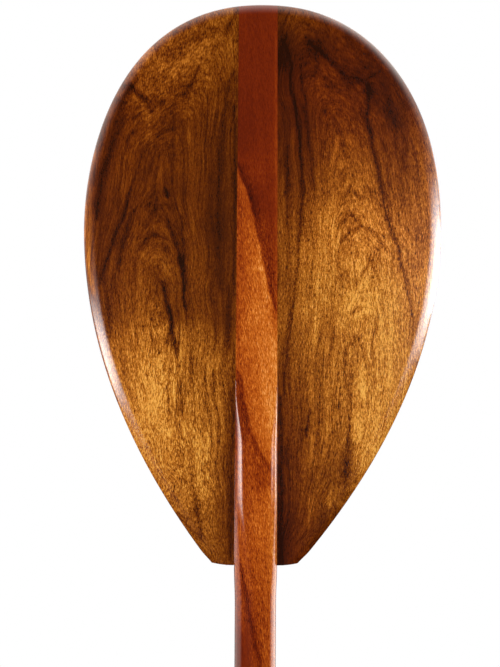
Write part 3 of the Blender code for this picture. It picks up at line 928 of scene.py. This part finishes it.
def koa(name, seed):
    """Figured koa: growth-ring streaks, short fibres and open pores, under lacquer, on stored tones and
    streaks that also hold painted light and shade.
    """
    wood = Wood(name)
    place = (wood.x, wood.z, wood.y)
    drift = wood.noise(place, (0.012, 0.040, 0.030), 2.0, 0.5, seed + 7.7)
    ring = wood.math("MULTIPLY_ADD", wood.stored("ring"), MM, wood.swing(drift, 0.0014))
    along_ring = (ring, wood.z, wood.total(wood.x, wood.y))
    bands = wood.noise(along_ring, (0.0034, 0.300, 0.014), 3.0, 0.6, seed)
    lines = wood.noise(along_ring, (0.0011, 0.085, 0.006), 2.0, 0.6, seed + 3.1)
    strands = wood.noise(along_ring, (0.0005, 0.020, 0.003), 1.0, 0.5, seed + 4.4)
    fibres = wood.noise(place, (0.0005, 0.0032, 0.0015), 1.0, 0.5, seed + 5.7)
    flecks = wood.noise(place, (0.0008, 0.0014, 0.0012), 1.0, 0.5, seed + 8.3)
    shimmer = wood.noise(place, (0.014, 0.009, 0.030), 2.0, 0.5, seed + 1.9)
    pores = wood.step(wood.noise(place, (0.0006, 0.0036, 0.0009), 1.0, 0.5, seed + 9.9), 0.56, 0.68)

    tone = wood.stored("tone")
    veins = wood.total(wood.swing(bands, 0.42), wood.swing(lines, 0.36), wood.swing(strands, 0.12))
    veins = wood.times(veins, wood.math("MULTIPLY_ADD", tone, 0.45, 0.45))
    speckle = wood.total(
        wood.swing(strands, 0.32), wood.swing(fibres, 0.74), wood.swing(flecks, 0.40),
        wood.swing(shimmer, 0.10), wood.times(pores, -0.24),
    )
    speckle = wood.times(speckle, wood.math("MULTIPLY_ADD", wood.step(tone, 0.0, 1.0), 1.0, 0.12))
    feather = wood.total(1.0, wood.swing(strands, 0.8), wood.swing(lines, 0.8))
    streak = wood.times(wood.stored("streak"), wood.math("MULTIPLY_ADD", tone, 0.6, 0.6))
    colour = wood.ramp(wood.total(tone, veins, speckle, wood.times(streak, feather)), KOA_RAMP)
    colour = wood.mix(wood.stored("red"), colour, wood.tint(colour, RED_WOOD))
    roughness = wood.total(wood.swing(fibres, 0.08), 0.36)
    return wood.finish(colour, roughness, wood.math("SUBTRACT", fibres, pores), GRAIN_RELIEF, 1.0)


def mahogany(name):
    """Red mahogany with interlocked grain, under lacquer."""
    wood = Wood(name)
    slanted = (wood.math("MULTIPLY_ADD", wood.z, 0.10, wood.x), wood.z, wood.y)
    bands = wood.noise(slanted, (0.0045, 0.110, 0.020), 3.0, 0.6, 2.0)
    fibres = wood.noise(slanted, (0.0005, 0.0044, 0.0015), 2.0, 0.5, 4.7)
    flecks = wood.noise(slanted, (0.0007, 0.0018, 0.0012), 1.0, 0.5, 8.1)
    pores = wood.step(wood.noise(slanted, (0.0006, 0.0040, 0.0009), 1.0, 0.5, 6.6), 0.56, 0.68)

    tone = wood.stored("tone")
    grain = wood.total(
        wood.swing(bands, 0.18), wood.swing(fibres, 0.52), wood.swing(flecks, 0.28), wood.times(pores, -0.16)
    )
    strength = wood.math("MULTIPLY_ADD", wood.step(tone, 0.30, 0.62), 0.85, 0.30)
    colour = wood.ramp(wood.total(tone, wood.times(grain, strength), wood.stored("streak")), MAHOGANY_RAMP)
    roughness = wood.total(wood.swing(fibres, 0.08), 0.34)
    return wood.finish(colour, roughness, wood.math("SUBTRACT", fibres, pores), GRAIN_RELIEF, 1.0)


def pale_wood(name, ramp, along_x, lacquer):
    """A plain pale wood, its grain upright or along X."""
    wood = Wood(name)
    place = (wood.z, wood.x, wood.y) if along_x else (wood.x, wood.z, wood.y)
    bands = wood.noise(place, (0.0012, 0.030, 0.0020), 3.0, 0.6, 1.0)
    fibres = wood.noise(place, (0.0004, 0.0040, 0.0004), 2.0, 0.6, 3.0)
    colour = wood.ramp(wood.total(0.5, wood.swing(bands, 0.35), wood.swing(fibres, 0.25)), ramp)
    roughness = wood.total(wood.swing(fibres, 0.10), 0.45)
    return wood.finish(colour, roughness, fibres, PALE_RELIEF, lacquer)


def store_figure_and_painted_light(ob, tones, streaks, rings=None, reds=None):
    """Stores the wood's figure, with the light and shade painted into it, on a piece's vertices, a little
    shifted from the front to the back.
    """
    x, y, z = np.array([vert.co for vert in ob.data.vertices]).T
    across = x / MM
    below = (LENGTH - z) / MM
    through = np.clip(y / BLADE_HALF_THICKNESS, -1, 1) / 2 + 0.5
    shift = BACK_ACROSS * through * np.sin(below / BACK_WAVE)
    places = np.column_stack([across + shift, below + BACK_DOWN * through])
    if rings:
        ring_marks = [(*place, number) for number, path in rings for place in path]
        store(ob, "ring", smooth_field(ring_marks, places))
        store(ob, "red", np.clip(smooth_field(reds, places), 0.0, 1.0))
    store(ob, "tone", np.clip(smooth_field(tones, places), *TONE_RANGE))
    store(ob, "streak", streak_field(streaks, places))


# ------ the room


class Sky(Nodes):
    """The world's node tree."""

    def background(self, colour, strength):
        node = self.nodes.new("ShaderNodeBackground")
        self.fill(node, {"Color": colour, "Strength": strength})
        return node.outputs[0]

    def mix(self, share, first, second):
        node = self.nodes.new("ShaderNodeMixShader")
        self.fill(node, {0: share, 1: first, 2: second})
        return node.outputs[0]

    def until(self, value, low, high):
        """1 below low, 0 above high, smooth between."""
        return self.math("SUBTRACT", 1.0, self.step(value, low, high))


def glow(sky, direction):
    """How bright the world is in the gloss for a direction."""
    x, y, z = direction
    height = sky.math("DEGREES", sky.math("ARCTAN2", z, sky.math("ABSOLUTE", x)))
    round_side = sky.math("DEGREES", sky.math("ARCCOSINE", y))
    total = 0.0
    for side, come, go, fade, brightness in GLOWS:
        part = sky.times(sky.step(height, *come), sky.until(height, *go), sky.until(round_side, *fade))
        if side:
            part = sky.times(part, sky.step(sky.times(x, side), *GLOW_SIDES))
        total = sky.math("MULTIPLY_ADD", part, brightness, total)
    return sky.times(total, sky.step(round_side, *GLOW_BEHIND))


def make_world():
    """White to the camera, a soft even light on the wood, and pale glows in its gloss."""
    world = bpy.data.worlds.new("studio")
    bpy.context.scene.world = world
    world.use_nodes = True
    world.node_tree.nodes.clear()
    sky = Sky(world.node_tree)
    direction = sky.direction("Generated")
    level, tilt = (FILL_BACK + FILL_FRONT) / 2, (FILL_BACK - FILL_FRONT) / 2
    fill = sky.math("MULTIPLY_ADD", direction["Y"], tilt, level)
    ray = sky.nodes.new("ShaderNodeLightPath")
    gloss = sky.background(GLOW_COLOUR, glow(sky, direction))
    shaded = sky.mix(ray.outputs["Is Glossy Ray"], sky.background(WHITE, fill), gloss)
    seen = sky.mix(ray.outputs["Is Camera Ray"], shaded, sky.background(WHITE, 1.0))
    sky.links.new(seen, sky.nodes.new("ShaderNodeOutputWorld").inputs[0])
    world.cycles.sampling_method = "NONE"


def area_light(name, place, target, size, power):
    """A softbox of (width, height) that looks at a target, and that the camera can't see."""
    light = bpy.data.lights.new(name, "AREA")
    light.shape = "RECTANGLE"
    light.size, light.size_y = size
    light.energy = power
    lamp = link(name, light)
    lamp.location = place
    lamp.rotation_euler = (Vector(target) - Vector(place)).to_track_quat("-Z", "Y").to_euler()
    lamp.visible_camera = False
    return lamp


def make_lights(receivers):
    for lit, right, heights, depths, all_heights, all_depths, brightness in SOFTBOXES:
        for i in range(NEST):
            low, high = between(heights, all_heights, i / (NEST - 1))
            fore, hind = between(depths, all_depths, i / (NEST - 1))
            size = (hind - fore, high - low)
            off = right + math.copysign(i * NEST_GAP, right)
            place = Vector((off, (fore + hind) / 2, (low + high) / 2))
            power = brightness / NEST * math.pi * size[0] * size[1]
            panel = area_light("panel", place, (0.0, place.y, place.z), size, power)
            panel.visible_diffuse = False
            panel.data.color = PANEL_COLOURS[lit]
            panel.light_linking.receiver_collection = receivers[lit]
    key = area_light("key", KEY_PLACE, (0.0, 0.0, WIDEST_Z), KEY_SIZE, KEY_POWER)
    key.visible_glossy = False


def make_floor():
    """A plain pale round floor."""
    bm = bmesh.new()
    bmesh.ops.create_circle(bm, cap_ends=True, segments=FLOOR_SIDES, radius=FLOOR_RADIUS)
    mesh = bpy.data.meshes.new("floor")
    bm.to_mesh(mesh)
    bm.free()
    floor = link("floor", mesh)
    floor.location.z = CAD_LOW.z - FLOOR_DROP
    material = bpy.data.materials.new("floor")
    material.use_nodes = True
    paint = Nodes(material.node_tree)
    paint.fill(paint.nodes["Principled BSDF"], {"Base Color": FLOOR_COLOUR, "Roughness": FLOOR_ROUGHNESS})
    mesh.materials.append(material)
    floor.visible_glossy = False


def make_camera():
    data = bpy.data.cameras.new("camera")
    data.sensor_width = SENSOR
    data.lens = SENSOR * CAMERA_DISTANCE / VIEW_HEIGHT
    data.clip_end = CAMERA_FAR
    camera = link("camera", data)
    camera.location = (VIEW_MIDDLE[0], -CAMERA_DISTANCE, VIEW_MIDDLE[1])
    camera.rotation_euler = (math.radians(90), math.radians(-VIEW_ROLL), 0.0)
    bpy.context.scene.camera = camera


# ------ the scene


def dress(ob, node, material):
    """Makes a fine piece stand for a CAD node."""
    ob.data.materials.clear()
    ob.data.materials.append(material)
    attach(ob, "root")
    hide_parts(node)


receivers = {name: bpy.data.collections.new(name) for name in PANEL_COLOURS}
make_camera()
make_world()
make_lights(receivers)
make_floor()
bpy.context.scene.view_settings.view_transform = "Standard"

blank = make_blank()
stick = make_stick(blank)
joint_to_grip(stick)
store_figure_and_painted_light(stick, SPINE_TONES, SPINE_STREAKS)
dress(stick, "spine_shaft", mahogany("mahogany"))
receivers["stick"].objects.link(stick)

for name, side, seed, *marks in (
    ("left", -1, 0.0, LEFT_TONES, LEFT_STREAKS, LEFT_RINGS, LEFT_REDS),
    ("right", 1, 21.0, RIGHT_TONES, RIGHT_STREAKS, RIGHT_RINGS, RIGHT_REDS),
):
    board = make_board(blank, side, name + "_blade_board")
    store_figure_and_painted_light(board, *marks)
    dress(board, "board_" + name, koa("koa_" + name, seed))
    receivers["boards"].objects.link(board)
blank.free()

grip = make_grip()
dress(grip, "grip", pale_wood("koa_grip", KOA_RAMP, True, 1.0))
for node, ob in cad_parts.items():
    if node == "grip_wedge":
        ob.data.materials[0] = pale_wood("maple", MAPLE_RAMP, False, 1.0)
    elif node.startswith("cross_dowel"):
        ob.data.materials[0] = pale_wood("birch", BIRCH_RAMP, True, 0.0)
